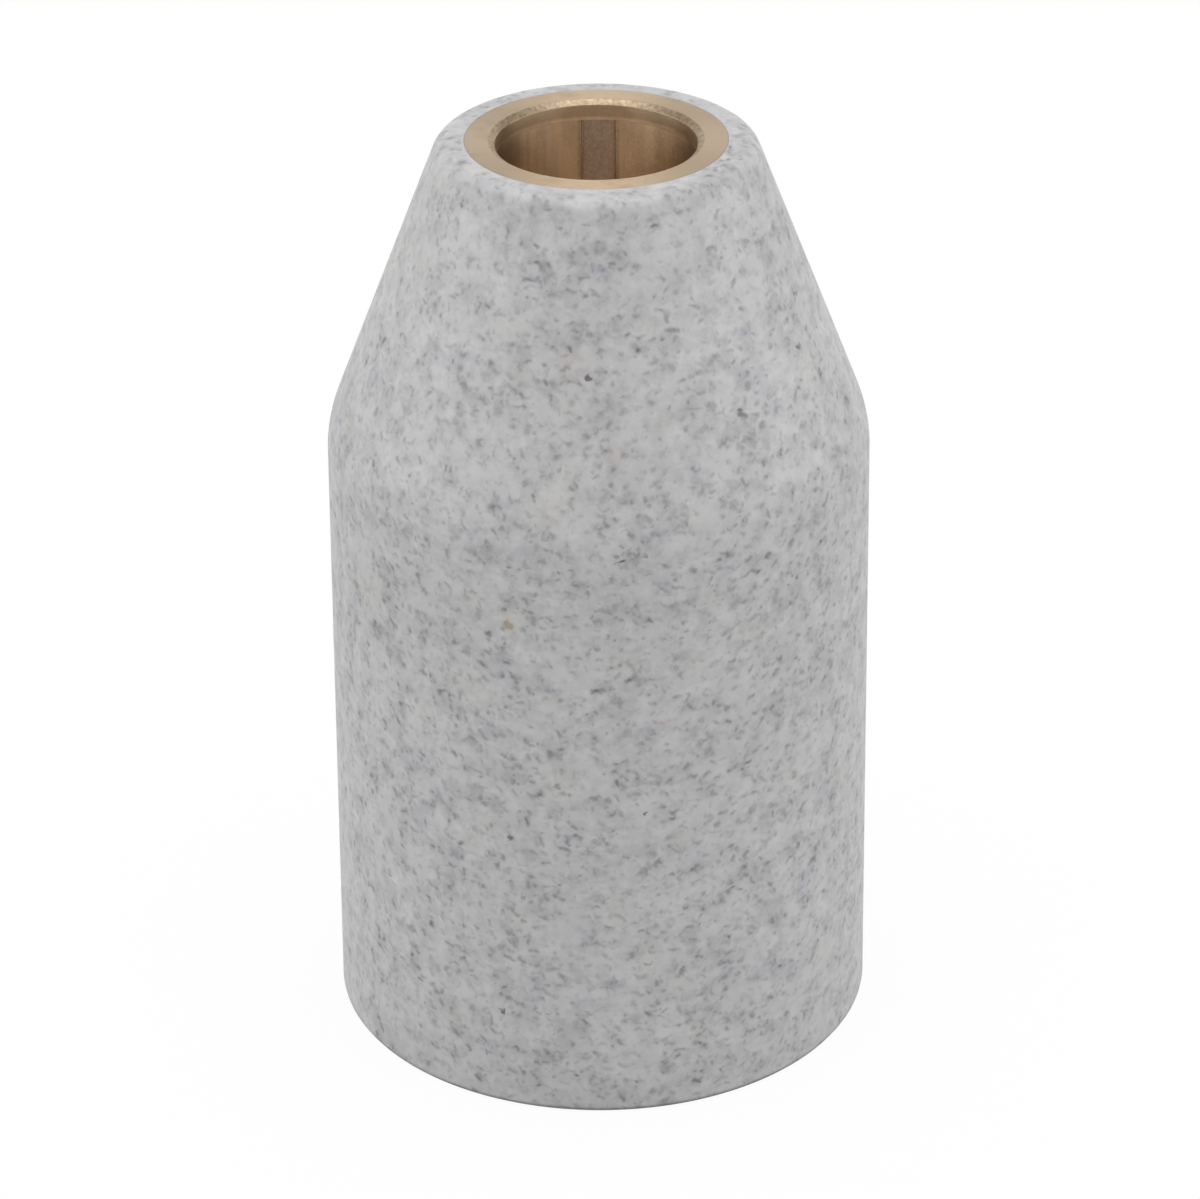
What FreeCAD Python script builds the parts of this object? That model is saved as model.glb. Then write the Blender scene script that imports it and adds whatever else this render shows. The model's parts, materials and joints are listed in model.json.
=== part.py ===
import FreeCAD, Part
import math
import os
from FreeCAD import Vector

# Shield cap of a plasma torch, in millimetres. It stands on its wide end at Z = 0
# and its nose points up +Z. A moulded shell surrounds one turned brass insert.

# Outside of the shell
height = 50.8
foot_radius = 14.85
skirt_draft_deg = 0.53
cone_half_angle_deg = 21.2
shoulder_round = 7.6
nose_round = 1.1
nose_flat = 0.67
foot_bevel = 0.25
foot_mouth_bevel = 0.4

# Walls of the moulding round the insert
skirt_wall = 1.65
cone_wall = 2.4
insert_setback = 1.2

# Groove in the insert that the moulding fills, so that it can't pull out. Its place is
# measured down from the insert's shoulder.
lock_groove_width = 2.2
lock_groove_depth = 0.5
lock_groove_drop = 6.5

# Nose of the insert: ring, chamfered lip and slotted guide for the torch tip
lip_radius = 5.28
lip_length = 1.1
lip_chamfer_width = 0.3
lip_chamfer_depth = 0.22
nose_ring_width = 1.6
guide_relief = 0.35
guide_length = 7.0
slot_count = 4
slot_width = 1.75
slot_depth = 0.75
slot_turn_deg = -1.2
seat_notch_depth = 0.8
seat_notch_reach = 0.6

# Chamber and torch thread behind the guide
cone_liner_wall = 1.9
chamber_step = 0.55
pilot_step = 0.25
pilot_length = 4.8
thread_wall = 1.2
thread_pitch = 1.5
thread_length = 11.2
thread_relief_length = 2.0
thread_relief_depth = 0.2
thread_entry = 0.8

# Worked out from the sizes above
cone_slope = math.tan(math.radians(cone_half_angle_deg))
draft_slope = math.tan(math.radians(skirt_draft_deg))
nose_ring_radius = lip_radius + nose_ring_width
nose_tangent = nose_round * math.tan(math.radians(90.0 - cone_half_angle_deg) / 2)
nose_corner_radius = nose_ring_radius + nose_flat + nose_tangent
shoulder_height = (nose_corner_radius + height * cone_slope - foot_radius) / (cone_slope - draft_slope)
liner_radius = foot_radius - skirt_wall
liner_nose_radius = nose_corner_radius - cone_wall / math.cos(math.radians(cone_half_angle_deg))
guide_radius = lip_radius + guide_relief
slot_floor_radius = guide_radius + slot_depth
lip_end_height = height - lip_length
seat_height = lip_end_height - guide_length
thread_major_radius = liner_radius - thread_wall
thread_minor_radius = thread_major_radius - 0.5413 * thread_pitch
relief_radius = thread_major_radius + thread_relief_depth
pilot_radius = thread_minor_radius - pilot_step
chamber_radius = pilot_radius - chamber_step
thread_start_height = insert_setback + thread_entry
thread_end_height = thread_start_height + thread_length
relief_end_height = thread_end_height + thread_relief_length
pilot_end_height = relief_end_height + pilot_length


def outer_cone_radius(z):
    return nose_corner_radius + (height - z) * cone_slope


def liner_cone_radius(z):
    return liner_nose_radius + (height - z) * cone_slope


def liner_cone_height(radius):
    return height - (radius - liner_nose_radius) / cone_slope


def turned_solid(corners):
    # Each corner is (radius, height, rounding). The closed outline has straight runs
    # between the corners and a tangent arc at each rounded one, turned once about Z.
    points = [Vector(radius, 0, z) for radius, z, rounding in corners]
    arcs = []
    for index, (radius, z, rounding) in enumerate(corners):
        corner = points[index]
        if rounding == 0:
            arcs.append((corner, corner, corner))
            continue
        to_last = (points[index - 1] - corner).normalize()
        to_next = (points[(index + 1) % len(points)] - corner).normalize()
        half_angle = to_last.getAngle(to_next) / 2
        reach = rounding / math.tan(half_angle)
        inward = (to_last + to_next).normalize()
        middle = corner + inward * (rounding / math.sin(half_angle) - rounding)
        arcs.append((corner + to_last * reach, middle, corner + to_next * reach))
    edges = []
    for index, (start, middle, end) in enumerate(arcs):
        next_start = arcs[(index + 1) % len(arcs)][0]
        if corners[index][2] > 0:
            edges.append(Part.Arc(start, middle, end).toShape())
        edges.append(Part.LineSegment(end, next_start).toShape())
    outline = Part.Face(Part.Wire(edges))
    return outline.revolve(Vector(0, 0, 0), Vector(0, 0, 1), 360)


def joint_line():
    # Where shell and insert meet, from the nose down to the insert's rear face
    liner_shoulder_height = liner_cone_height(liner_radius)
    groove_radius = liner_radius - lock_groove_depth
    groove_top = liner_shoulder_height - lock_groove_drop
    groove_bottom = groove_top - lock_groove_width
    return [
        (nose_ring_radius, height, 0),
        (nose_ring_radius, liner_cone_height(nose_ring_radius), 0),
        (liner_radius, liner_shoulder_height, 0),
        (liner_radius, groove_top, 0),
        (groove_radius, groove_top, 0),
        (groove_radius, groove_bottom, 0),
        (liner_radius, groove_bottom, 0),
        (liner_radius, insert_setback, 0),
    ]


def make_moulded_shell():
    shoulder_radius = outer_cone_radius(shoulder_height)
    skirt_inside = [
        (liner_radius, foot_mouth_bevel, 0),
        (liner_radius + foot_mouth_bevel, 0, 0),
    ]
    outside = [
        (foot_radius - foot_bevel, 0, 0),
        (foot_radius, foot_bevel, 0),
        (shoulder_radius, shoulder_height, shoulder_round),
        (nose_corner_radius, height, nose_round),
    ]
    return turned_solid(joint_line() + skirt_inside + outside)


def insert_bore_line():
    # Inside of the insert, from the rear face up to the edge of the nose
    seat_radius = liner_cone_radius(seat_height) - cone_liner_wall
    chamber_top = liner_cone_height(chamber_radius + cone_liner_wall)
    return [
        (thread_minor_radius + thread_entry, insert_setback, 0),
        (thread_minor_radius, thread_start_height, 0),
        (thread_minor_radius, thread_end_height, 0),
        (relief_radius, thread_end_height, 0),
        (relief_radius, relief_end_height, 0),
        (pilot_radius, relief_end_height, 0),
        (pilot_radius, pilot_end_height, 0),
        (chamber_radius, pilot_end_height, 0),
        (chamber_radius, chamber_top, 0),
        (seat_radius, seat_height, 0),
        (guide_radius, seat_height, 0),
        (guide_radius, lip_end_height, 0),
        (lip_radius, lip_end_height, 0),
        (lip_radius, height - lip_chamfer_depth, 0),
        (lip_radius + lip_chamfer_width, height, 0),
    ]


def gas_slot(turn_deg):
    # One flat-floored slot: it runs down the guide and notches the seat under the tip's
    # flange, so that shielding gas gets past a seated tip
    top_length = lip_end_height - seat_height + seat_notch_depth
    groove = Part.makeBox(slot_width, slot_floor_radius, top_length)
    groove.translate(Vector(-slot_width / 2, 0, seat_height - seat_notch_depth))
    notch_floor = liner_cone_radius(seat_height) - cone_liner_wall + seat_notch_reach
    notch = Part.makeBox(slot_width, notch_floor, 2 * seat_notch_depth)
    notch.translate(Vector(-slot_width / 2, 0, seat_height - seat_notch_depth))
    cutter = groove.fuse(notch).removeSplitter()
    cutter.rotate(Vector(0, 0, 0), Vector(0, 0, 1), turn_deg)
    return cutter


def make_brass_insert():
    insert = turned_solid(joint_line() + insert_bore_line())
    for index in range(slot_count):
        insert = insert.cut(gas_slot(slot_turn_deg + index * 360.0 / slot_count))
    return insert


def export_node(name, shape):
    solids = shape.Solids
    if len(solids) != 1 or not shape.isValid():
        raise ValueError("%s is not one valid solid" % name)
    solids[0].exportStep("parts/%s.step" % name)
    box = shape.optimalBoundingBox()
    print("%s volume %.1f mm3, Z %.2f to %.2f, radius %.2f"
          % (name, shape.Volume, box.ZMin, box.ZMax, box.XMax))


os.makedirs("parts", exist_ok=True)
export_node("moulded_shell", make_moulded_shell())
export_node("brass_insert", make_brass_insert())
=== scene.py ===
import json
import math
import bmesh
import bpy
import numpy as np
from mathutils import Matrix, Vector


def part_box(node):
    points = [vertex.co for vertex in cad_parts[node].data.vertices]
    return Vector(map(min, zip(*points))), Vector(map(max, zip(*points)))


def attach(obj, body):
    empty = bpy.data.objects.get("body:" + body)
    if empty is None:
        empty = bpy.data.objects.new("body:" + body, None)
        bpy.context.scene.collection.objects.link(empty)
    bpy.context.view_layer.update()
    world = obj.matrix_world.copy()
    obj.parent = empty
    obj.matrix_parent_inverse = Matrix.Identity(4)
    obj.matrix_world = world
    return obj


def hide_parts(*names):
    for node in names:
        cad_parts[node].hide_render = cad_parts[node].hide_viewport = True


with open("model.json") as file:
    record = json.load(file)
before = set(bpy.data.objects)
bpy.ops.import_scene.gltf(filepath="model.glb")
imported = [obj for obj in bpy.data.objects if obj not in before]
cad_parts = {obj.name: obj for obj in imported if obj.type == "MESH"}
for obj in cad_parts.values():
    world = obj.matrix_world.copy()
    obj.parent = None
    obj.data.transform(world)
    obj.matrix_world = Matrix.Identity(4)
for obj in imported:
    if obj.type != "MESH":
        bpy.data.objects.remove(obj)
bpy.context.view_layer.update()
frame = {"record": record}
print("frame loaded")

mm = 0.001
scene = bpy.context.scene
mounts = {mount["name"]: mount for mount in frame["record"]["mounts"]}
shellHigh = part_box("moulded_shell")[1]
insertLow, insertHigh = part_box("brass_insert")


def mountRadius(name):
    return mounts[name]["dims"]["r_mm"]


def mountSpan(name):
    # Lowest and highest point of a stated bore's wall, in mm
    middle = mounts[name]["pos_m"][2] / mm
    half = mounts[name]["dims"]["length_mm"] / 2
    return middle - half, middle + half


# Shell: the speckled moulding, sizes in mm
shell = {
    "height": shellHigh[2] / mm,
    "footRadius": shellHigh[0] / mm,
    "skirtDraft": math.radians(0.53),
    "coneAngle": math.radians(21.2),
    "shoulderRound": 7.6,
    "noseRound": 1.1,
    "noseFlat": 0.67,
    "footRound": 0.3,
    "mouthBevel": 0.4,
    "coneWall": 2.4,
    "seamBevel": 0.012,
    "grooveWidth": 2.2,
    "grooveDepth": 0.5,
    "grooveDrop": 6.5,
    "columns": 256,
}

# Insert: the turned brass, sizes in mm
insert = {
    "linerRadius": insertHigh[0] / mm,
    "rearHeight": insertLow[2] / mm,
    "outletRadius": mountRadius("tip_outlet"),
    "outletSpan": mountSpan("tip_outlet"),
    "chamferWidth": 0.3,
    "ringWidth": 1.6,
    "guideRadius": mountRadius("tip_guide"),
    "guideSpan": mountSpan("tip_guide"),
    "slotCount": 4,
    "slotWidth": 1.75,
    "slotDepth": 0.75,
    "slotTurn": math.radians(-1.2),
    "notchDepth": 0.8,
    "notchReach": 0.6,
    "coneLinerWall": 1.9,
    "chamberStep": 0.55,
    "pilotRadius": mountRadius("head_pilot"),
    "pilotSpan": mountSpan("head_pilot"),
    "threadMinor": mountRadius("head_thread"),
    "threadSpan": mountSpan("head_thread"),
    "threadPitch": 1.5,
    "threadDepth": 0.5413,  # in pitches
    "threadFlank": math.radians(30),
    "threadRoot": 1 / 16,  # half of the root's flat, in pitches
    "threadPhases": [0.11, 0.14, 0.425, 0.45, 0.55, 0.575, 0.86, 0.89],
    "threadWall": 1.2,
    "threadEntry": 0.8,
    "reliefDepth": 0.2,
    "edgeBevel": 0.05,
    "slotEdgeBevel": 0.06,
    "slotFloorColumns": 5,
    "columnsBetweenSlots": 44,
}

# Sizes that both pieces share
coneSlope = math.tan(shell["coneAngle"])
ringRadius = insert["outletRadius"] + insert["ringWidth"]
noseTangent = shell["noseRound"] * math.tan((math.pi / 2 - shell["coneAngle"]) / 2)
noseCorner = ringRadius + shell["noseFlat"] + noseTangent
linerNose = noseCorner - shell["coneWall"] / math.cos(shell["coneAngle"])


def linerConeHeight(radius):
    return shell["height"] - (radius - linerNose) / coneSlope


def linerConeRadius(z):
    return linerNose + (shell["height"] - z) * coneSlope


def roundedPath(corners, finest=0.12, mostSteps=16):
    # Closed outline from corners (radius, height, rounding): at each rounded corner a circular
    # arc tangent to both runs, centre + rounding * (cos, sin) of evenly spaced angles.
    points = np.array([corner[:2] for corner in corners], float)
    before = np.roll(points, 1, axis=0)
    after = np.roll(points, -1, axis=0)
    path = []
    for corner, last, following, rounding in zip(points, before, after, [c[2] for c in corners]):
        if rounding == 0:
            path.append(corner[None])
            continue
        toLast = (last - corner) / np.linalg.norm(last - corner)
        toNext = (following - corner) / np.linalg.norm(following - corner)
        half = math.acos(np.clip(toLast @ toNext, -1, 1)) / 2
        inward = (toLast + toNext) / np.linalg.norm(toLast + toNext)
        centre = corner + inward * rounding / math.sin(half)
        arcStart = corner + toLast * rounding / math.tan(half) - centre
        sweep = math.pi - 2 * half
        turn = math.copysign(sweep, toLast[1] * toNext[0] - toLast[0] * toNext[1])
        steps = int(np.clip(math.ceil(rounding * sweep / finest), 2, mostSteps))
        angles = np.linspace(0, turn, steps + 1)[:, None]
        crossed = np.array([-arcStart[1], arcStart[0]])
        path.append(centre + arcStart * np.cos(angles) + crossed * np.sin(angles))
    return np.concatenate(path)


def cornerNormals(mesh, widest=math.radians(50), mostShared=9):
    # Normal at each face corner: the sum of area * normal over the faces round its vertex that
    # are turned less than the widest angle from its own face. Large faces stay flat, and the
    # narrow bevels between them carry the turn of the light.
    vertex = np.zeros(len(mesh.loops), int)
    mesh.loops.foreach_get("vertex_index", vertex)
    area = np.zeros(len(mesh.polygons))
    mesh.polygons.foreach_get("area", area)
    normal = np.zeros(len(mesh.polygons) * 3)
    mesh.polygons.foreach_get("normal", normal)
    normal = normal.reshape(-1, 3)
    corners = np.zeros(len(mesh.polygons), int)
    mesh.polygons.foreach_get("loop_total", corners)
    face = np.repeat(np.arange(len(mesh.polygons)), corners)
    order = np.argsort(vertex, kind="stable")
    sortedVertex, sortedFace = vertex[order], face[order]
    total = np.zeros((len(order), 3))
    for step in range(-mostShared, mostShared + 1):
        other = np.clip(np.arange(len(order)) + step, 0, len(order) - 1)
        inRange = np.arange(len(order)) + step == other
        near = (normal[sortedFace] * normal[sortedFace[other]]).sum(axis=1) > math.cos(widest)
        counted = inRange & near & (sortedVertex == sortedVertex[other])
        total += normal[sortedFace[other]] * (area[sortedFace[other]] * counted)[:, None]
    total /= np.linalg.norm(total, axis=1)[:, None]
    result = np.empty_like(total)
    result[order] = total
    return result


def ringMesh(name, points, wrapShift=None, weld=1e-7):
    # Points are rows x columns x 3 and wrap round both ways, as on a torus. A quad joins each
    # point to its neighbours. wrapShift lists, for each row, the row that it meets past the
    # last column, so that a helix can climb as it goes round.
    rows, columns = points.shape[:2]
    index = np.arange(rows * columns).reshape(rows, columns)
    across = np.roll(index, -1, axis=1)
    if wrapShift is not None:
        across[:, -1] = index[wrapShift, 0]
    quads = np.stack([index, across, np.roll(across, -1, axis=0), np.roll(index, -1, axis=0)], axis=-1)
    quads = quads.reshape(-1, 4)
    # A negative volume means that the faces point inwards
    flat = points.reshape(-1, 3) * mm
    a, b, c, d = (flat[quads[:, k]] for k in range(4))
    volume = np.einsum("ij,ij->i", a, np.cross(b, c) + np.cross(c, d)).sum()
    if volume < 0:
        quads = quads[:, ::-1]
    mesh = bpy.data.meshes.new(name)
    mesh.from_pydata(flat.tolist(), [], quads.tolist())
    clean = bmesh.new()
    clean.from_mesh(mesh)
    bmesh.ops.remove_doubles(clean, verts=clean.verts, dist=weld)
    bmesh.ops.dissolve_degenerate(clean, edges=clean.edges, dist=weld / 10)
    clean.to_mesh(mesh)
    clean.free()
    mesh.shade_smooth()
    mesh.normals_split_custom_set(cornerNormals(mesh).tolist())
    piece = bpy.data.objects.new(name, mesh)
    scene.collection.objects.link(piece)
    return piece


def revolved(path, angles):
    # Each (radius, height) of the path goes round Z: radius * cos, radius * sin, height
    radius = path[:, 0, None]
    height = np.repeat(path[:, 1, None], len(angles), axis=1)
    return np.stack([radius * np.cos(angles), radius * np.sin(angles), height], axis=-1)


def jointCorners(bevel):
    # Where the two pieces meet, from the nose down to the insert's rear face
    shoulder = linerConeHeight(insert["linerRadius"])
    groove = insert["linerRadius"] - shell["grooveDepth"]
    grooveTop = shoulder - shell["grooveDrop"]
    grooveBottom = grooveTop - shell["grooveWidth"]
    return [
        (ringRadius + bevel, shell["height"], 0),
        (ringRadius, shell["height"] - abs(bevel), 0),
        (ringRadius, linerConeHeight(ringRadius), 0),
        (insert["linerRadius"], shoulder, 0),
        (insert["linerRadius"], grooveTop, 0),
        (groove, grooveTop, 0),
        (groove, grooveBottom, 0),
        (insert["linerRadius"], grooveBottom, 0),
        (insert["linerRadius"], insert["rearHeight"], 0),
    ]


def makeShell():
    # Turned outline: joint line, mouth, foot, drafted skirt, shoulder arc, cone and nose arc
    draftSlope = math.tan(shell["skirtDraft"])
    coneAtFloor = noseCorner + shell["height"] * coneSlope
    shoulderHeight = (coneAtFloor - shell["footRadius"]) / (coneSlope - draftSlope)
    shoulderRadius = noseCorner + (shell["height"] - shoulderHeight) * coneSlope
    corners = jointCorners(shell["seamBevel"]) + [
        (insert["linerRadius"], shell["mouthBevel"], 0),
        (insert["linerRadius"] + shell["mouthBevel"], 0, 0),
        (shell["footRadius"], 0, shell["footRound"]),
        (shoulderRadius, shoulderHeight, shell["shoulderRound"]),
        (noseCorner, shell["height"], shell["noseRound"]),
    ]
    angles = np.arange(shell["columns"]) * 2 * math.pi / shell["columns"]
    return ringMesh("mouldedShell", revolved(roundedPath(corners), angles))


def slotColumns():
    # For one slot: sideways places of its floor points, and the plain columns up to the next slot
    half = insert["slotWidth"] / 2
    edge = math.asin((half + insert["slotEdgeBevel"]) / insert["guideRadius"])
    sector = 2 * math.pi / insert["slotCount"]
    floor = np.linspace(-half, half, insert["slotFloorColumns"])
    return floor, np.linspace(edge, sector - edge, insert["columnsBetweenSlots"])


def outlineRow(radius, height, floor=None):
    # One row round the insert: circles between the slots, and at each slot two walls parallel
    # to its middle and a flat floor. With no floor the slot's columns stay on the circle.
    across, between = slotColumns()
    half = insert["slotWidth"] / 2
    if floor is None:
        slotAngles = np.arctan2(across, insert["guideRadius"] + insert["slotDepth"])
        wallAngle = math.asin(half / insert["guideRadius"])
        slotAngles = np.concatenate([[-wallAngle], slotAngles, [wallAngle]])
        slot = radius * np.stack([np.sin(slotAngles), np.cos(slotAngles)], axis=-1)
        plain = between
    else:
        wallTop = math.sqrt(radius ** 2 - half ** 2) + insert["slotEdgeBevel"]
        slot = np.stack([across, np.full(len(across), floor)], axis=-1)
        slot = np.concatenate([[[-half, wallTop]], slot, [[half, wallTop]]])
        rowEdge = math.asin((half + insert["slotEdgeBevel"]) / radius)
        sector = 2 * math.pi / insert["slotCount"]
        plain = np.linspace(rowEdge, sector - rowEdge, len(between))
    plainPoints = radius * np.stack([np.sin(plain), np.cos(plain)], axis=-1)
    one = np.concatenate([slot, plainPoints])
    turns = insert["slotTurn"] - np.arange(insert["slotCount"]) * 2 * math.pi / insert["slotCount"]
    cos, sin = np.cos(turns)[:, None], np.sin(turns)[:, None]
    x = one[None, :, 0] * cos - one[None, :, 1] * sin
    y = one[None, :, 0] * sin + one[None, :, 1] * cos
    row = np.stack([x.ravel(), y.ravel(), np.full(x.size, height)], axis=-1)
    return row[::-1]


def threadRadius(phase, height):
    # 60 degree internal thread: from the root, a sixteenth of a pitch of flat, then a flank whose
    # radius falls at 1 / tan 30, down to the minor radius. The entry cone wins where it is wider.
    pitch = insert["threadPitch"]
    depth = insert["threadDepth"] * pitch
    fromRoot = np.abs(phase % 1 - 0.5) * pitch
    drop = np.clip((fromRoot - insert["threadRoot"] * pitch) / math.tan(insert["threadFlank"]), 0, depth)
    entry = insert["threadMinor"] + insert["threadEntry"] - (height - insert["rearHeight"])
    return np.maximum(insert["threadMinor"] + depth - drop, entry)


def threadRows(angles):
    # Rows follow the helix: height = start + pitch * (row phase + angle / turn), held between the
    # rear face and the run-out groove, with rows at the thread's own corners
    pitch = insert["threadPitch"]
    low, high = insert["rearHeight"], insert["threadSpan"][1]
    corners = np.array(insert["threadPhases"])
    turnsNeeded = math.ceil((high - low) / pitch) + 1
    phases = (np.arange(-1, turnsNeeded)[:, None] + corners).ravel()
    share = (angles - angles[0]) % (2 * math.pi) / (2 * math.pi)
    height = np.clip(low + pitch * (phases[:, None] + share[None]), low, high)
    radius = threadRadius((height - low) / pitch - share[None], height)
    rows = np.stack([radius * np.cos(angles), radius * np.sin(angles), height], axis=-1)
    shift = np.minimum(np.arange(len(phases)) + len(corners), len(phases) - 1)
    return rows, shift


def makeInsert():
    # Rows in order round the turned outline: joint line, thread, bores, seat, guide, lip, face
    height = shell["height"]
    bevel = insert["edgeBevel"]
    seatHeight, lipEnd = insert["guideSpan"]
    guide, outlet = insert["guideRadius"], insert["outletRadius"]
    floor = guide + insert["slotDepth"]
    seatRadius = linerConeRadius(seatHeight) - insert["coneLinerWall"]
    notchFloor = seatRadius + insert["notchReach"]
    notchLow = seatHeight - insert["notchDepth"]
    notchRadius = linerConeRadius(notchLow) - insert["coneLinerWall"]
    relief = insert["linerRadius"] - insert["threadWall"] + insert["reliefDepth"]
    pilot = insert["pilotRadius"]
    chamber = pilot - insert["chamberStep"]
    chamberTop = linerConeHeight(chamber + insert["coneLinerWall"])
    pilotLow, pilotHigh = insert["pilotSpan"]
    threadTop = insert["threadSpan"][1]
    chamferLow = insert["outletSpan"][1]

    outside = [(r, z) for r, z, rounding in jointCorners(-shell["seamBevel"])]
    bores = [
        (relief, threadTop), (relief, pilotLow), (pilot + bevel, pilotLow), (pilot, pilotLow + bevel),
        (pilot, pilotHigh), (chamber + bevel, pilotHigh), (chamber, pilotHigh + bevel),
        (chamber, chamberTop), (notchRadius, notchLow),
    ]
    slotted = [
        (notchRadius, notchLow, notchFloor), (seatRadius, seatHeight, notchFloor),
        (guide + bevel, seatHeight, notchFloor), (guide, seatHeight + bevel, notchFloor),
        (guide, seatHeight + insert["notchDepth"], notchFloor),
        (guide, seatHeight + insert["notchDepth"], floor), (guide, lipEnd, floor),
    ]
    lip = [
        (outlet + bevel, lipEnd), (outlet, lipEnd + bevel), (outlet, chamferLow - bevel),
        (outlet + bevel / 2, chamferLow), (outlet + insert["chamferWidth"] - bevel / 2, height - bevel / 2),
        (outlet + insert["chamferWidth"] + bevel / 2, height),
    ]
    firstRow = outlineRow(guide, 0.0)
    angles = np.arctan2(firstRow[:, 1], firstRow[:, 0])
    thread, threadShift = threadRows(angles)
    blocks = [np.array([outlineRow(r, z) for r, z in outside]), thread]
    blocks.append(np.array([outlineRow(r, z) for r, z in bores]))
    blocks.append(np.array([outlineRow(r, z, deep) for r, z, deep in slotted]))
    blocks.append(np.array([outlineRow(r, z) for r, z in lip]))
    points = np.concatenate(blocks)
    shift = np.arange(len(points))
    first = len(outside)
    shift[first:first + len(thread)] = first + threadShift
    return ringMesh("brassInsert", points, shift)


shellPiece = makeShell()
print("shell built", len(shellPiece.data.polygons), "faces")
insertPiece = makeInsert()
print("insert built", len(insertPiece.data.polygons), "faces")


# Shader helpers: one node, one link, and the sums that the groups are made of
def addNode(tree, kind, **settings):
    node = tree.nodes.new(kind)
    for key, value in settings.items():
        setattr(node, key, value)
    return node


def feed(tree, socket, value):
    if isinstance(value, bpy.types.NodeSocket):
        tree.links.new(value, socket)
    else:
        socket.default_value = value


def sums(tree, operation, *values, clamp=False):
    node = addNode(tree, "ShaderNodeMath", operation=operation, use_clamp=clamp)
    for socket, value in zip(node.inputs, values):
        feed(tree, socket, value)
    return node.outputs[0]


def vectors(tree, operation, *values):
    node = addNode(tree, "ShaderNodeVectorMath", operation=operation)
    for socket, value in zip(node.inputs, values):
        feed(tree, socket, value)
    return node.outputs["Value"] if operation in ("DOT_PRODUCT", "LENGTH") else node.outputs["Vector"]


def scaled(tree, vector, factor):
    node = addNode(tree, "ShaderNodeVectorMath", operation="SCALE")
    feed(tree, node.inputs[0], vector)
    feed(tree, node.inputs["Scale"], factor)
    return node.outputs["Vector"]


def swing(tree, value, middle, factor):
    # factor * (value - middle)
    return sums(tree, "MULTIPLY", sums(tree, "SUBTRACT", value, middle), factor)


def ramp(tree, value, low, high, atLow=0.0, atHigh=1.0, smooth=True):
    kind = "SMOOTHSTEP" if smooth else "LINEAR"
    node = addNode(tree, "ShaderNodeMapRange", interpolation_type=kind)
    values = {"Value": value, "From Min": low, "From Max": high, "To Min": atLow, "To Max": atHigh}
    for name, number in values.items():
        feed(tree, node.inputs[name], number)
    return node.outputs["Result"]


def noise(tree, vector, scale, detail, roughness):
    node = addNode(tree, "ShaderNodeTexNoise", noise_dimensions="3D")
    values = {"Vector": vector, "Scale": scale, "Detail": detail, "Roughness": roughness}
    for name, value in values.items():
        feed(tree, node.inputs[name], value)
    return node.outputs["Fac"]


def strayed(tree, place, scale, amount):
    # The place moved by amount * (noise colour - 0.5), which bends lines and frays edges
    drift = addNode(tree, "ShaderNodeTexNoise", noise_dimensions="3D")
    feed(tree, drift.inputs["Vector"], place)
    drift.inputs["Scale"].default_value = scale
    moved = scaled(tree, vectors(tree, "SUBTRACT", drift.outputs["Color"], (0.5, 0.5, 0.5)), amount)
    return vectors(tree, "ADD", place, moved)


def mixColour(tree, factor, first, second, blend="MIX"):
    node = addNode(tree, "ShaderNodeMix", data_type="RGBA", blend_type=blend)
    feed(tree, node.inputs[0], factor)
    feed(tree, node.inputs[6], first)
    feed(tree, node.inputs[7], second)
    return node.outputs[2]


def newGroup(name, inputs, outputs):
    group = bpy.data.node_groups.new(name, "ShaderNodeTree")
    for key, kind in inputs.items():
        group.interface.new_socket(key, in_out="INPUT", socket_type=kind)
    for key, kind in outputs.items():
        group.interface.new_socket(key, in_out="OUTPUT", socket_type=kind)
    return group, group.nodes.new("NodeGroupInput").outputs, group.nodes.new("NodeGroupOutput").inputs


def useGroup(tree, group, **values):
    node = addNode(tree, "ShaderNodeGroup", node_tree=group)
    for key, value in values.items():
        feed(tree, node.inputs[key], value)
    return node.outputs


def newMaterial(name):
    # A material, its nodes, its surface, and the place on the piece in mm
    material = bpy.data.materials.new(name)
    material.use_nodes = True
    tree = material.node_tree
    coordinates = addNode(tree, "ShaderNodeTexCoord")
    place = scaled(tree, coordinates.outputs["Object"], 1 / mm)
    return material, tree, tree.nodes["Principled BSDF"], place


def axisHeight(tree, place):
    return vectors(tree, "DOT_PRODUCT", place, (0.0, 0.0, 1.0))


def axisRadius(tree, place):
    return vectors(tree, "LENGTH", vectors(tree, "MULTIPLY", place, (1.0, 1.0, 0.0)))


def spotMask(tree, place, middle, reach, core, strength):
    # The strength within core * reach of the middle, fading to nothing at the reach
    away = vectors(tree, "LENGTH", vectors(tree, "SUBTRACT", place, middle))
    return ramp(tree, away, reach, reach * core, 0.0, strength)


def addBump(tree, surface, height, strength, depth):
    # The depth is in mm
    bump = addNode(tree, "ShaderNodeBump")
    bump.inputs["Strength"].default_value = strength
    bump.inputs["Distance"].default_value = depth * mm
    feed(tree, bump.inputs["Height"], height)
    feed(tree, surface.inputs["Normal"], bump.outputs["Normal"])


# What every fibre has in common. Each is drawn between sizeLeast and sizeLeast + sizeRange of its
# kind's size, and between paleLeast and paleLeast + paleRange of its kind's darkness.
fibreShape = {
    "randomness": 0.8,
    "sizeLeast": 0.5,
    "sizeRange": 0.6,
    "blurWithDepth": 0.35,
    "fullLength": 0.3,
    "paleLeast": 0.25,
    "paleRange": 0.75,
}


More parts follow.
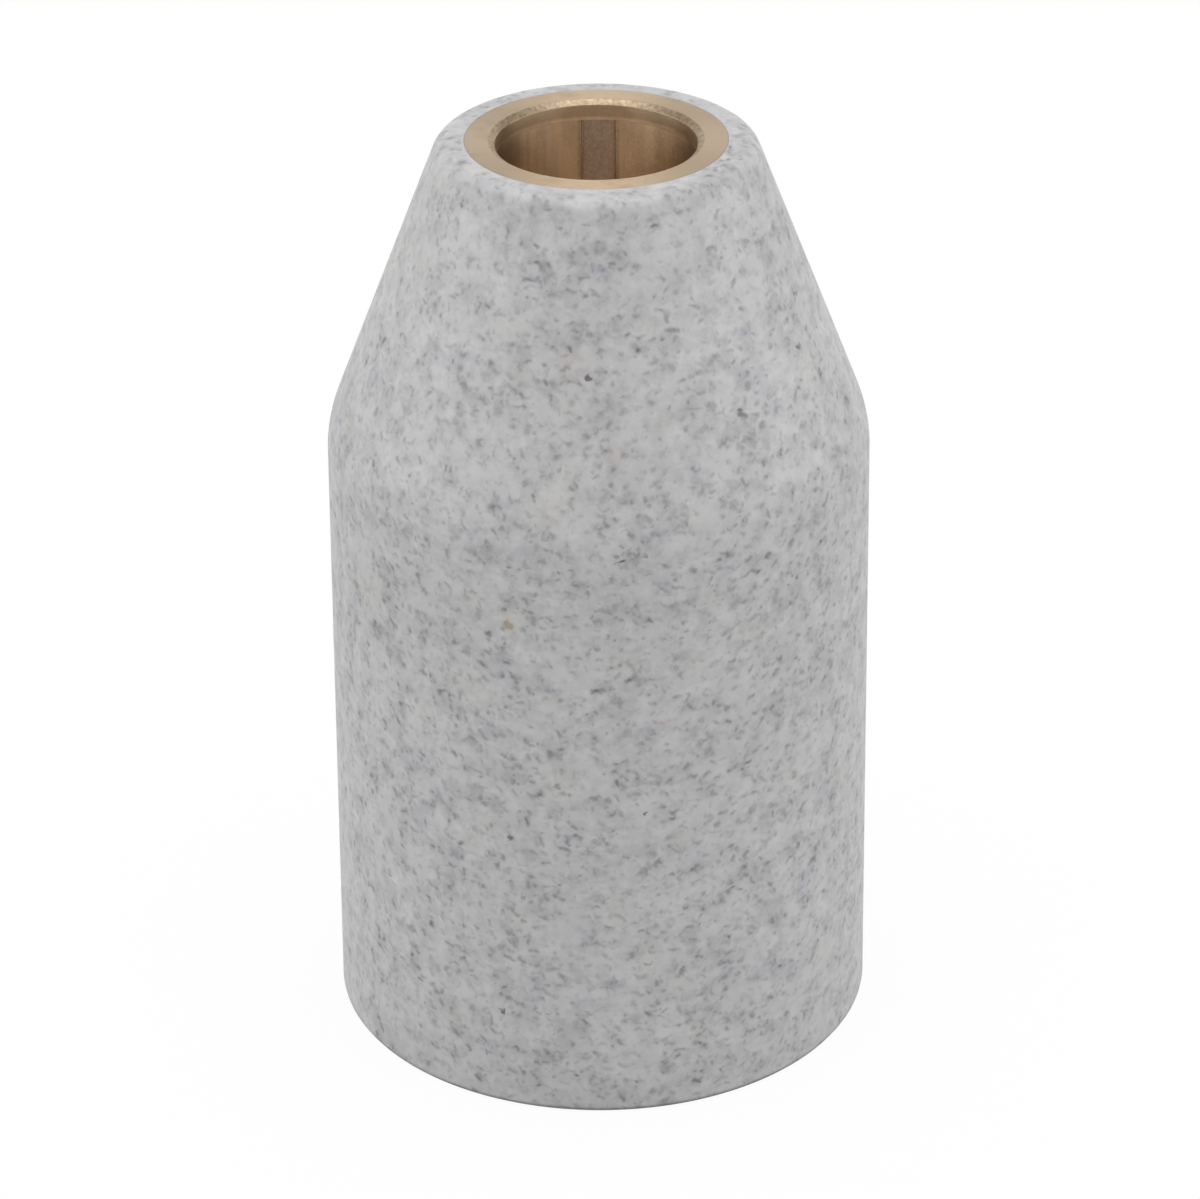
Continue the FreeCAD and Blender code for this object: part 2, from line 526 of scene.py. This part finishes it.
def makeFibreGroup():
    # One short fibre in each cell of a 3D Voronoi pattern. The place in the cell is split into
    # along, across and deep. The fibre lies along the flow turned by a draw of its own, bends as
    # the square of its length, fades towards its ends, and pales and blurs with depth.
    inputs = dict.fromkeys(("Place", "Side", "Rise", "Out", "Shift"), "NodeSocketVector")
    numbers = ("Cell", "Length", "Width", "Depth", "Share", "Flow", "Spread", "Bend")
    inputs.update(dict.fromkeys(numbers, "NodeSocketFloat"))
    group, given, result = newGroup("fibreInResin", inputs, {"Mask": "NodeSocketFloat"})
    perCell = scaled(group, given["Place"], sums(group, "DIVIDE", 1.0, given["Cell"]))
    place = vectors(group, "ADD", perCell, given["Shift"])
    cells = addNode(group, "ShaderNodeTexVoronoi", voronoi_dimensions="3D", feature="F1")
    feed(group, cells.inputs["Vector"], place)
    cells.inputs["Scale"].default_value = 1.0
    cells.inputs["Randomness"].default_value = fibreShape["randomness"]
    inCell = scaled(group, vectors(group, "SUBTRACT", place, cells.outputs["Position"]), given["Cell"])
    side = vectors(group, "DOT_PRODUCT", inCell, given["Side"])
    rise = vectors(group, "DOT_PRODUCT", inCell, given["Rise"])
    deep = sums(group, "ABSOLUTE", vectors(group, "DOT_PRODUCT", inCell, given["Out"]))
    draws = addNode(group, "ShaderNodeSeparateColor")
    feed(group, draws.inputs[0], cells.outputs["Color"])
    turnDraw, sizeDraw, shareDraw = (draws.outputs[k] for k in range(3))
    turn = sums(group, "ADD", given["Flow"], swing(group, turnDraw, 0.5, given["Spread"]))
    cos, sin = sums(group, "COSINE", turn), sums(group, "SINE", turn)
    along = sums(group, "ADD", sums(group, "MULTIPLY", side, cos), sums(group, "MULTIPLY", rise, sin))
    across = sums(group, "SUBTRACT", sums(group, "MULTIPLY", rise, cos), sums(group, "MULTIPLY", side, sin))
    bend = swing(group, sizeDraw, 0.5, given["Bend"])
    across = sums(group, "ADD", across, sums(group, "MULTIPLY", sums(group, "MULTIPLY", along, along), bend))
    size = sums(group, "MULTIPLY", sizeDraw, fibreShape["sizeRange"])
    size = sums(group, "ADD", fibreShape["sizeLeast"], size)
    halfLength = sums(group, "MULTIPLY", given["Length"], size)
    blur = sums(group, "MULTIPLY", deep, fibreShape["blurWithDepth"])
    halfWidth = sums(group, "ADD", given["Width"], blur)
    fullLength = sums(group, "MULTIPLY", halfLength, fibreShape["fullLength"])
    ends = ramp(group, sums(group, "ABSOLUTE", along), halfLength, fullLength)
    sides = ramp(group, sums(group, "ABSOLUTE", across), halfWidth, 0.0)
    fade = ramp(group, deep, given["Depth"], 0.0)
    # A draw above 1 - share holds a fibre, and the further above, the darker it is
    chosen = ramp(group, shareDraw, sums(group, "SUBTRACT", 1.0, given["Share"]), 1.0, smooth=False)
    present = sums(group, "GREATER_THAN", chosen, 0.001)
    pale = sums(group, "MULTIPLY", chosen, fibreShape["paleRange"])
    strength = sums(group, "MULTIPLY", present, sums(group, "ADD", fibreShape["paleLeast"], pale))
    outline = sums(group, "MULTIPLY", ends, sides)
    mask = sums(group, "MULTIPLY", outline, sums(group, "MULTIPLY", fade, strength))
    feed(group, result["Mask"], mask)
    return group


fibreGroup = makeFibreGroup()

# Speckled composite. In both materials a noise is scale, detail and roughness, and a ramp is the
# value from and to, then the result from and to. Lengths are in mm. Each kind of fibre: cell, half
# length, half width, depth, the share of cells that hold one, the spread of directions in radians,
# the bend and how dark it is. Each spot: middle, reach, colour and strength.
composite = {
    "resin": (0.404, 0.404, 0.404),
    "dark": (0.081, 0.081, 0.085, 1),
    "cool": (0.36, 0.36, 0.40, 1),
    "warm": (0.45, 0.43, 0.385, 1),
    "rimTint": (0.40, 0.38, 0.43, 1),
    "coneTilt": (33.3, 36.1, 0.0, coneSlope),
    "noseTilt": (50.0, 50.75, 0.0, 6.0),
    "footTilt": (0.25, 0.05, 0.0, -6.0),
    "flow": math.radians(-20),
    "flowTurn": math.radians(45),
    "wander": (1.5, 0.55),
    "fray": (4.5, 0.55),
    "cloudNoise": (0.7, 4.0, 0.62),
    "cloudCrowd": (0.36, 0.66, 0.6, 1.4),
    "cloudTone": (0.42, 0.66, 0.04, -0.12),
    "raggedNoise": (2.4, 2.0, 0.5),
    "raggedCrowd": (0.32, 0.62, 0.4, 1.25),
    "coneCrowd": (33.0, 37.0, 1.0, 0.88),
    "hazeNoise": (1.1, 4.0, 0.6),
    "haze": 0.45,
    "broadNoise": (0.16, 2.0, 0.5),
    "broad": 0.15,
    "coolShift": (40.0, 0.0, 9.0),
    "coolNoise": (0.5, 3.0, 0.6),
    "coolPatches": (0.5, 0.66, 0.0, 1.0),
    "coolInClouds": (0.44, 0.6, 0.0, 0.5),
    "warmShift": (0.0, 70.0, 5.0),
    "warmNoise": (0.35, 2.0, 0.5),
    "warmPatches": (0.6, 0.75, 0.0, 0.24),
    "rimWidth": 0.22,
    "rimHeights": (50.5, 50.7, 0.0, 0.7),
    "footLineHeights": (0.4, 0.12),
    "footLineInset": (0.3, 0.12),
    "footShade": 0.32,
    "glossNoise": (1.8, 3.0, 0.6),
    "roughness": (0.3, 0.7, 0.36, 0.50),
    "bumpNoise": (2.2, 4.0, 0.55),
    "bumpStrength": 0.25,
    "bumpDepth": 0.02,
    "fibreShift": (3.7, 1.9, 7.3),
    "fibres": {
        "first": (0.80, 0.42, 0.19, 0.44, 0.90, 1.7, 0.9, 0.54),
        "second": (0.70, 0.36, 0.17, 0.40, 0.90, 2.0, 1.2, 0.47),
        "third": (0.62, 0.30, 0.15, 0.36, 0.85, 2.4, 1.5, 0.42),
        "dots": (0.55, 0.17, 0.13, 0.28, 0.70, 3.0, 0.0, 0.42),
        "long": (1.90, 0.95, 0.11, 0.50, 0.60, 1.6, 0.5, 0.28),
        "clumps": (1.15, 0.75, 0.45, 0.80, 0.85, 2.0, 0.3, 0.31),
        "rare": (2.60, 0.21, 0.13, 0.55, 0.50, 2.6, 1.0, 1.0),
    },
    "spotCore": 0.3,
    "spots": {
        "rustHalo": ((-4.68, -13.79, 29.6), 0.60, (0.43, 0.40, 0.35, 1), 0.6),
        "rust": ((-4.68, -13.79, 29.6), 0.30, (0.30, 0.24, 0.175, 1), 0.9),
        "pinkPatch": ((-1.25, -11.23, 43.1), 1.4, (0.44, 0.38, 0.38, 1), 0.35),
        "coneBlush": ((0.76, -12.90, 38.8), 0.7, (0.45, 0.37, 0.37, 1), 0.35),
        "skirtBlush": ((3.37, -14.23, 23.9), 0.6, (0.45, 0.37, 0.37, 1), 0.3),
        "coneSpeck": ((-0.50, -11.50, 42.5), 0.26, (0.07, 0.07, 0.08, 1), 0.85),
        "highSpeck": ((10.29, -5.90, 41.6), 0.26, (0.07, 0.07, 0.08, 1), 0.85),
        "shoulderSpeck": ((7.19, -10.27, 39.9), 0.28, (0.07, 0.07, 0.08, 1), 0.8),
        "midSpeck": ((2.31, -14.49, 18.7), 0.18, (0.07, 0.07, 0.08, 1), 0.9),
        "lowSpeck": ((-4.85, -13.86, 16.9), 0.26, (0.07, 0.07, 0.08, 1), 0.8),
        "footSpeck": ((-5.40, -13.82, 5.9), 0.28, (0.07, 0.07, 0.08, 1), 0.85),
    },
}


def surfaceAxes(tree, place):
    # Directions on the cap at a place: side goes round the axis, out leaves the surface, rise is
    # square to both. The tilt of out follows the skirt, the cone, the nose and the foot by height.
    radial = vectors(tree, "NORMALIZE", vectors(tree, "MULTIPLY", place, (1.0, 1.0, 0.0)))
    side = vectors(tree, "CROSS_PRODUCT", (0.0, 0.0, 1.0), radial)
    height = axisHeight(tree, place)
    onCone, onNose, onFoot = (
        ramp(tree, height, *composite[name]) for name in ("coneTilt", "noseTilt", "footTilt"))
    tilt = addNode(tree, "ShaderNodeCombineXYZ")
    feed(tree, tilt.inputs["Z"], sums(tree, "ADD", sums(tree, "ADD", onCone, onNose), onFoot))
    out = vectors(tree, "NORMALIZE", vectors(tree, "ADD", radial, tilt.outputs[0]))
    rise = vectors(tree, "CROSS_PRODUCT", out, side)
    # The fibres lie down to the right at the front, and more level towards the right side
    across = vectors(tree, "DOT_PRODUCT", radial, (1.0, 0.0, 0.0))
    flow = sums(tree, "ADD", composite["flow"], sums(tree, "MULTIPLY", across, composite["flowTurn"]))
    return side, rise, out, flow


def fibreDarkness(tree, place, wandered, cloud):
    # 1 - the product over the kinds of fibre of 1 - mask * crowd * strength. The fibres crowd
    # together in loose clouds with ragged gaps, and a little less on the cone.
    side, rise, out, flow = surfaceAxes(tree, place)
    ragged = ramp(tree, noise(tree, place, *composite["raggedNoise"]), *composite["raggedCrowd"])
    crowd = sums(tree, "MULTIPLY", ramp(tree, cloud, *composite["cloudCrowd"]), ragged)
    lessOnCone = ramp(tree, axisHeight(tree, place), *composite["coneCrowd"])
    crowd = sums(tree, "MULTIPLY", crowd, lessOnCone)
    light = 1.0
    for index, (*numbers, strength) in enumerate(composite["fibres"].values()):
        values = dict(zip(("Cell", "Length", "Width", "Depth", "Share", "Spread", "Bend"), numbers))
        shift = tuple(step * index for step in composite["fibreShift"])
        fibre = useGroup(
            tree, fibreGroup, Place=wandered, Side=side, Rise=rise, Out=out, Flow=flow, Shift=shift, **values)
        shown = sums(tree, "MULTIPLY", fibre["Mask"], crowd)
        part = sums(tree, "MULTIPLY", shown, strength, clamp=True)
        light = sums(tree, "MULTIPLY", light, sums(tree, "SUBTRACT", 1.0, part))
    return sums(tree, "SUBTRACT", 1.0, light, clamp=True)


def resinColour(tree, place, cloud):
    # resin * (1 + tone), where the tone sums fine haze, broad haze and the fibres' clouds, with
    # cool patches inside the clouds and warm patches anywhere
    haze = swing(tree, noise(tree, place, *composite["hazeNoise"]), 0.5, composite["haze"])
    broad = swing(tree, noise(tree, place, *composite["broadNoise"]), 0.5, composite["broad"])
    tone = sums(tree, "ADD", sums(tree, "ADD", haze, broad), ramp(tree, cloud, *composite["cloudTone"]))
    colour = scaled(tree, composite["resin"], sums(tree, "ADD", 1.0, tone))
    coolNoise = noise(tree, vectors(tree, "ADD", place, composite["coolShift"]), *composite["coolNoise"])
    coolness = sums(
        tree, "MULTIPLY", ramp(tree, coolNoise, *composite["coolPatches"]),
        ramp(tree, cloud, *composite["coolInClouds"]))
    warmNoise = noise(tree, vectors(tree, "ADD", place, composite["warmShift"]), *composite["warmNoise"])
    warmth = ramp(tree, warmNoise, *composite["warmPatches"])
    colour = mixColour(tree, coolness, colour, composite["cool"])
    return mixColour(tree, warmth, colour, composite["warm"])


def edgeLines(tree, place, colour):
    # A tinted line where the resin meets the ring, and a line of painted shade round the foot's edge
    height, radius = axisHeight(tree, place), axisRadius(tree, place)
    besideRing = ramp(tree, radius, ringRadius + composite["rimWidth"], ringRadius)
    rim = sums(tree, "MULTIPLY", besideRing, ramp(tree, height, *composite["rimHeights"]))
    colour = mixColour(tree, rim, colour, composite["rimTint"])
    low, high = (shell["footRadius"] - inset for inset in composite["footLineInset"])
    atFoot = ramp(tree, height, *composite["footLineHeights"])
    # Painted shade: the foot's outer edge darkened where it meets the floor
    footShadeLine = sums(tree, "MULTIPLY", atFoot, ramp(tree, radius, low, high))
    return scaled(tree, colour, ramp(tree, footShadeLine, 0.0, 1.0, 1.0, composite["footShade"], smooth=False))


def makeComposite():
    material, tree, surface, place = newMaterial("speckledComposite")
    wandered = strayed(tree, place, *composite["wander"])
    frayed = strayed(tree, wandered, *composite["fray"])
    cloud = noise(tree, wandered, *composite["cloudNoise"])
    colour = resinColour(tree, place, cloud)
    for middle, reach, tint, strength in composite["spots"].values():
        mask = spotMask(tree, frayed, middle, reach, composite["spotCore"], strength)
        colour = mixColour(tree, mask, colour, tint)
    colour = mixColour(tree, fibreDarkness(tree, place, wandered, cloud), colour, composite["dark"])
    feed(tree, surface.inputs["Base Color"], edgeLines(tree, place, colour))
    gloss = noise(tree, place, *composite["glossNoise"])
    feed(tree, surface.inputs["Roughness"], ramp(tree, gloss, *composite["roughness"]))
    relief = noise(tree, place, *composite["bumpNoise"])
    addBump(tree, surface, relief, composite["bumpStrength"], composite["bumpDepth"])
    return material


# Brass: lighter in the bores, which is painted light lifting the deep bores as well as fresher metal,
# duller on the exposed face, with turned grooves and grain. Each painted shadow under the lip in the bore:
# middle, reach and strength.
brass = {
    "bright": (0.82, 0.64, 0.44, 1),
    "face": (0.588, 0.451, 0.306, 1),
    "stain": (0.62, 0.58, 0.56, 1),
    "slotTint": (0.80, 0.84, 1.03, 1),
    "grime": (0.46, 0.35, 0.26, 1),
    "rubbed": (0.96, 0.80, 0.60, 1),
    "chamferTint": (0.87, 0.88, 0.88, 1),
    "edgeTint": (0.50, 0.43, 0.36, 1),
    "tarnish": (0.38, 0.29, 0.21, 1),
    "faceAboveGuide": (0.1, 0.3),
    "slotPastGuide": (0.1, 0.3),
    "guideFoot": (41.0, 41.5),
    "guideFade": 0.1,
    "grimeWidths": (0.24, 0.04),
    "grimeShift": 0.06,
    "grimeInSpecks": (0.3, 0.6, 0.85, 0.4),
    "rubbedWidths": (0.06, 0.035),
    "chamferHeights": (50.5, 50.58),
    "chamferFade": 0.1,
    "outerEdgeWidth": 0.16,
    "outerEdgeStrength": 0.6,
    "grainNoise": (7.0, 4.0, 0.6),
    "speckNoise": (4.5, 3.0, 0.6),
    "stainNoise": (0.8, 3.0, 0.55),
    "stainPatches": (0.5, 0.75, 0.0, 0.3),
    "streakNoise": (1.3, 3.0, 0.6),
    "streakPlace": (1.0, 1.0, 0.06),
    "streaks": 0.7,
    "grain": 0.3,
    "grainInSlot": 0.6,
    "scuffs": 1.4,
    "scuffMiddle": 0.54,
    "boreRoughness": 0.40,
    "faceRoughness": 0.38,
    "chamferDulling": 0.08,
    "wear": 0.3,
    "anisotropy": 0.74,
    "anisotropyTurn": 0.25,
    "groovePitch": 0.11,
    "grooveHeight": 0.06,
    "grainHeight": 2.5,
    "bumpStrength": 0.5,
    "relief": 0.010,
    "tarnishCore": 0.23,
    "tarnished": {
        "left": ((-5.1, 2.2, 48.6), 2.2, 0.7),
        "leftBack": ((-4.4, 3.5, 48.6), 1.5, 0.5),
        "right": ((5.1, 2.2, 48.6), 2.2, 0.6),
    },
}


def slotMasks(tree, place, radius, height):
    # Masks inside a slot, for the painted shade beside its edges, and on the rubbed edges themselves.
    # Turned back, the slots lie along X and Y, so the lesser of the two is the place across a slot.
    turned = addNode(tree, "ShaderNodeMapping")
    feed(tree, turned.inputs["Vector"], place)
    turned.inputs["Rotation"].default_value = (0, 0, -insert["slotTurn"])
    parts = addNode(tree, "ShaderNodeSeparateXYZ")
    feed(tree, parts.inputs[0], turned.outputs[0])
    x, y = (sums(tree, "ABSOLUTE", parts.outputs[axis]) for axis in ("X", "Y"))
    across = sums(tree, "MINIMUM", x, y)
    guideTop = insert["guideSpan"][1]
    belowLip = ramp(tree, height, guideTop, guideTop - brass["guideFade"])
    inGuide = sums(tree, "MULTIPLY", ramp(tree, height, *brass["guideFoot"]), belowLip)
    deep = ramp(tree, radius, *(insert["guideRadius"] + step for step in brass["slotPastGuide"]))
    slotEdge = insert["slotWidth"] / 2
    fromSlotShade = sums(tree, "ABSOLUTE", sums(tree, "SUBTRACT", across, slotEdge + brass["grimeShift"]))
    bevelMiddle = slotEdge + insert["slotEdgeBevel"] / 2
    fromBevel = sums(tree, "ABSOLUTE", sums(tree, "SUBTRACT", across, bevelMiddle))
    shadedEdge = ramp(tree, fromSlotShade, *brass["grimeWidths"])
    rubbed = ramp(tree, fromBevel, *brass["rubbedWidths"])
    return [sums(tree, "MULTIPLY", inGuide, mask) for mask in (deep, shadedEdge, rubbed)]


def brassColour(tree, place, radius, height, onFace, onChamfer, grain):
    # The colours of bore and face, with the painted shade and reflection of the slot floors, painted shade
    # by the slot edges, painted shadow under the lip and the ring's outer edge laid over them in turn,
    # * (1 + tone). The tone sums sandy grain, strongest in the slots, scuffs on the chamfer, and streaks
    # drawn up the bore, which are noise that hardly changes with height.
    speck = noise(tree, place, *brass["speckNoise"])
    inSlot, shadedEdge, rubbed = slotMasks(tree, place, radius, height)
    # The bores get a lighter brass than the face: painted light lifting the deep bores, and fresher metal
    colour = mixColour(tree, onFace, brass["bright"], brass["face"])
    # Painted shade and reflection: the recessed slot floors are darkened and cooled
    colour = mixColour(tree, inSlot, colour, brass["slotTint"], "MULTIPLY")
    # Painted shade along the slot edges, broken into patches by the specks
    grime = sums(tree, "MULTIPLY", shadedEdge, ramp(tree, speck, *brass["grimeInSpecks"]))
    colour = mixColour(tree, grime, colour, brass["grime"])
    colour = mixColour(tree, rubbed, colour, brass["rubbed"])
    # Painted shadow under the lip, darkest at the sides of the bore
    for middle, reach, strength in brass["tarnished"].values():
        mask = spotMask(tree, place, middle, reach, brass["tarnishCore"], strength)
        colour = mixColour(tree, mask, colour, brass["tarnish"])
    edgeStart = ringRadius - brass["outerEdgeWidth"]
    outerEdge = ramp(tree, radius, edgeStart, ringRadius, 0.0, brass["outerEdgeStrength"])
    colour = mixColour(tree, sums(tree, "MULTIPLY", outerEdge, onFace), colour, brass["edgeTint"])
    sandy = sums(tree, "ADD", brass["grain"], sums(tree, "MULTIPLY", inSlot, brass["grainInSlot"]))
    scuffs = swing(tree, speck, brass["scuffMiddle"], brass["scuffs"])
    streakPlace = vectors(tree, "MULTIPLY", place, brass["streakPlace"])
    streaks = swing(tree, noise(tree, streakPlace, *brass["streakNoise"]), 0.5, brass["streaks"])
    inBore = sums(tree, "SUBTRACT", 1.0, onFace)
    tone = sums(tree, "ADD", swing(tree, grain, 0.5, sandy), sums(tree, "MULTIPLY", scuffs, onChamfer))
    tone = sums(tree, "ADD", tone, sums(tree, "MULTIPLY", streaks, inBore))
    colour = scaled(tree, colour, sums(tree, "ADD", 1.0, tone))
    # The chamfer is darkened a little: painted shade that tones down its highlight
    colour = mixColour(tree, onChamfer, colour, brass["chamferTint"], "MULTIPLY")
    stained = ramp(tree, noise(tree, place, *brass["stainNoise"]), *brass["stainPatches"])
    return mixColour(tree, stained, colour, brass["stain"], "MULTIPLY")


def makeBrass():
    material, tree, surface, place = newMaterial("turnedBrass")
    surface.inputs["Metallic"].default_value = 1.0
    surface.inputs["Anisotropic"].default_value = brass["anisotropy"]
    surface.inputs["Anisotropic Rotation"].default_value = brass["anisotropyTurn"]
    radius, height = axisRadius(tree, place), axisHeight(tree, place)
    onFace = ramp(tree, height, *(insert["guideSpan"][1] + step for step in brass["faceAboveGuide"]))
    chamferEdge = insert["outletRadius"] + insert["chamferWidth"]
    besideEdge = ramp(tree, radius, chamferEdge + brass["chamferFade"], chamferEdge)
    onChamfer = sums(tree, "MULTIPLY", ramp(tree, height, *brass["chamferHeights"]), besideEdge)
    grain = noise(tree, place, *brass["grainNoise"])
    colour = brassColour(tree, place, radius, height, onFace, onChamfer, grain)
    feed(tree, surface.inputs["Base Color"], colour)
    roughness = ramp(tree, onFace, 0.0, 1.0, brass["boreRoughness"], brass["faceRoughness"], smooth=False)
    dull = sums(tree, "MULTIPLY", onChamfer, brass["chamferDulling"])
    worn = swing(tree, grain, 0.5, brass["wear"])
    feed(tree, surface.inputs["Roughness"], sums(tree, "ADD", sums(tree, "ADD", roughness, dull), worn))
    # Fine turned grooves: the sine of radius + height, so that they go round bores and faces alike
    turns = sums(tree, "MULTIPLY", sums(tree, "ADD", radius, height), 2 * math.pi / brass["groovePitch"])
    grooves = sums(tree, "MULTIPLY", sums(tree, "SINE", turns), brass["grooveHeight"])
    relief = sums(tree, "ADD", grooves, sums(tree, "MULTIPLY", grain, brass["grainHeight"]))
    addBump(tree, surface, relief, brass["bumpStrength"], brass["relief"])
    return material


shellPiece.data.materials.append(makeComposite())
insertPiece.data.materials.append(makeBrass())
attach(shellPiece, "root")
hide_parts("moulded_shell")
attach(insertPiece, "root")
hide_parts("brass_insert")
print("materials made")


# Studio: a white floor and surround, and soft square lamps round the cap. Each lamp: turn from
# the front and rise in degrees, distance and size in metres, and radiance.
studio = {
    "floorSize": 4.0,
    "floorDrop": 0.00002,
    "floorColour": (0.72, 0.72, 0.72, 1),
    "floorShown": 0.95,
    "surround": 0.59,
    "backdropTop": (23, 27),
    "backdropDim": 0.18,
    "overheadTop": (43, 47),
    "lamps": {
        "leftLamp": (-90, 8, 0.6, 0.3, 2.1),
        "rightLamp": (90, 8, 0.6, 0.3, 2.1),
        "frontLeftLamp": (-55, 20, 0.6, 0.3, 1.42),
        "frontRightLamp": (55, 20, 0.6, 0.3, 1.42),
        "frontLamp": (0, 36, 0.6, 0.3, 0.12),
        "backLamp": (180, 45, 0.6, 0.3, 0.56),
        "topLamp": (180, 88, 0.595, 0.62, 2.62),
    },
}


def shownWhite(tree):
    # 1 for camera, glossy and transmission rays, which see plain white
    path = addNode(tree, "ShaderNodeLightPath")
    seen = sums(tree, "MAXIMUM", path.outputs["Is Camera Ray"], path.outputs["Is Glossy Ray"])
    return sums(tree, "MAXIMUM", seen, path.outputs["Is Transmission Ray"])


def makeFloor():
    half = studio["floorSize"] / 2
    drop = -studio["floorDrop"]
    corners = [(-half, -half, drop), (half, -half, drop), (half, half, drop), (-half, half, drop)]
    mesh = bpy.data.meshes.new("floor")
    mesh.from_pydata(corners, [], [(0, 1, 2, 3)])
    floor = bpy.data.objects.new("floor", mesh)
    scene.collection.objects.link(floor)
    material = bpy.data.materials.new("whiteFloor")
    material.use_nodes = True
    tree = material.node_tree
    tree.nodes.clear()
    plain = addNode(tree, "ShaderNodeBsdfDiffuse")
    plain.inputs["Color"].default_value = studio["floorColour"]
    glow = addNode(tree, "ShaderNodeEmission")
    mixed = addNode(tree, "ShaderNodeMixShader")
    feed(tree, mixed.inputs[0], sums(tree, "MULTIPLY", shownWhite(tree), studio["floorShown"]))
    feed(tree, mixed.inputs[1], plain.outputs[0])
    feed(tree, mixed.inputs[2], glow.outputs[0])
    feed(tree, addNode(tree, "ShaderNodeOutputMaterial").inputs["Surface"], mixed.outputs[0])
    mesh.materials.append(material)


def makeSurround():
    world = bpy.data.worlds.new("surround")
    world.use_nodes = True
    scene.world = world
    tree = world.node_tree
    background = tree.nodes["Background"]
    background.inputs["Color"].default_value = (1, 1, 1, 1)
    world.cycles.sampling_method = "NONE"
    shown = shownWhite(tree)
    seen = addNode(tree, "ShaderNodeLightPath").outputs["Is Camera Ray"]
    # The camera sees plain white. Metal shows white up to the backdrop's top and dims above it.
    direction = addNode(tree, "ShaderNodeTexCoord").outputs["Generated"]
    parts = addNode(tree, "ShaderNodeSeparateXYZ")
    feed(tree, parts.inputs[0], direction)
    low, high = (math.sin(math.radians(angle)) for angle in studio["backdropTop"])
    backdrop = ramp(tree, parts.outputs["Z"], low, high, 1.0, studio["backdropDim"])
    low, high = (math.sin(math.radians(angle)) for angle in studio["overheadTop"])
    overhead = ramp(tree, parts.outputs["Z"], low, high, 1.0, 0.0)
    mirrored = sums(tree, "MAXIMUM", seen, sums(tree, "MULTIPLY", backdrop, overhead))
    shownStrength = sums(tree, "MULTIPLY", shown, mirrored)
    plainStrength = sums(tree, "MULTIPLY", sums(tree, "SUBTRACT", 1.0, shown), studio["surround"])
    feed(tree, background.inputs["Strength"], sums(tree, "ADD", shownStrength, plainStrength))


def makeLamp(name, place, away, size, radiance):
    # A square lamp with its back to the away direction: its power is radiance * pi * area
    data = bpy.data.lights.new(name, "AREA")
    data.shape = "SQUARE"
    data.size = size
    data.energy = radiance * math.pi * size * size
    lamp = bpy.data.objects.new(name, data)
    scene.collection.objects.link(lamp)
    lamp.location = place
    lamp.rotation_euler = (math.acos(away[2]), 0, math.atan2(away[0], -away[1]))


def makeLamps():
    # Each lamp stands at middle + distance * (cos rise * sin turn, -cos rise * cos turn, sin rise)
    middle = np.array([0, 0, shell["height"] / 2 * mm])
    for name, (turn, rise, distance, size, radiance) in studio["lamps"].items():
        turn, rise = math.radians(turn), math.radians(rise)
        level = math.cos(rise)
        away = np.array([level * math.sin(turn), -level * math.cos(turn), math.sin(rise)])
        makeLamp(name, middle + distance * away, away, size, radiance)


# Camera: where the photograph was taken from, worked out from the cap's own outline
view = {
    "place": (0.0, -0.2123, 0.1368),
    "lookDown": math.radians(28.05),
    "roll": math.radians(-0.468),
    "lens": 131.7,
    "sensor": 36.0,
    "nearest": 0.01,
}


def makeCamera():
    data = bpy.data.cameras.new("camera")
    data.sensor_width = view["sensor"]
    data.lens = view["lens"]
    data.clip_start = view["nearest"]
    camera = bpy.data.objects.new("camera", data)
    scene.collection.objects.link(camera)
    camera.rotation_mode = "QUATERNION"
    camera.location = view["place"]
    aim = Matrix.Rotation(math.pi / 2 - view["lookDown"], 3, "X") @ Matrix.Rotation(view["roll"], 3, "Z")
    camera.rotation_quaternion = aim.to_quaternion()
    scene.camera = camera


makeFloor()
makeSurround()
makeLamps()
makeCamera()
scene.view_settings.view_transform = "Standard"
print("studio ready")
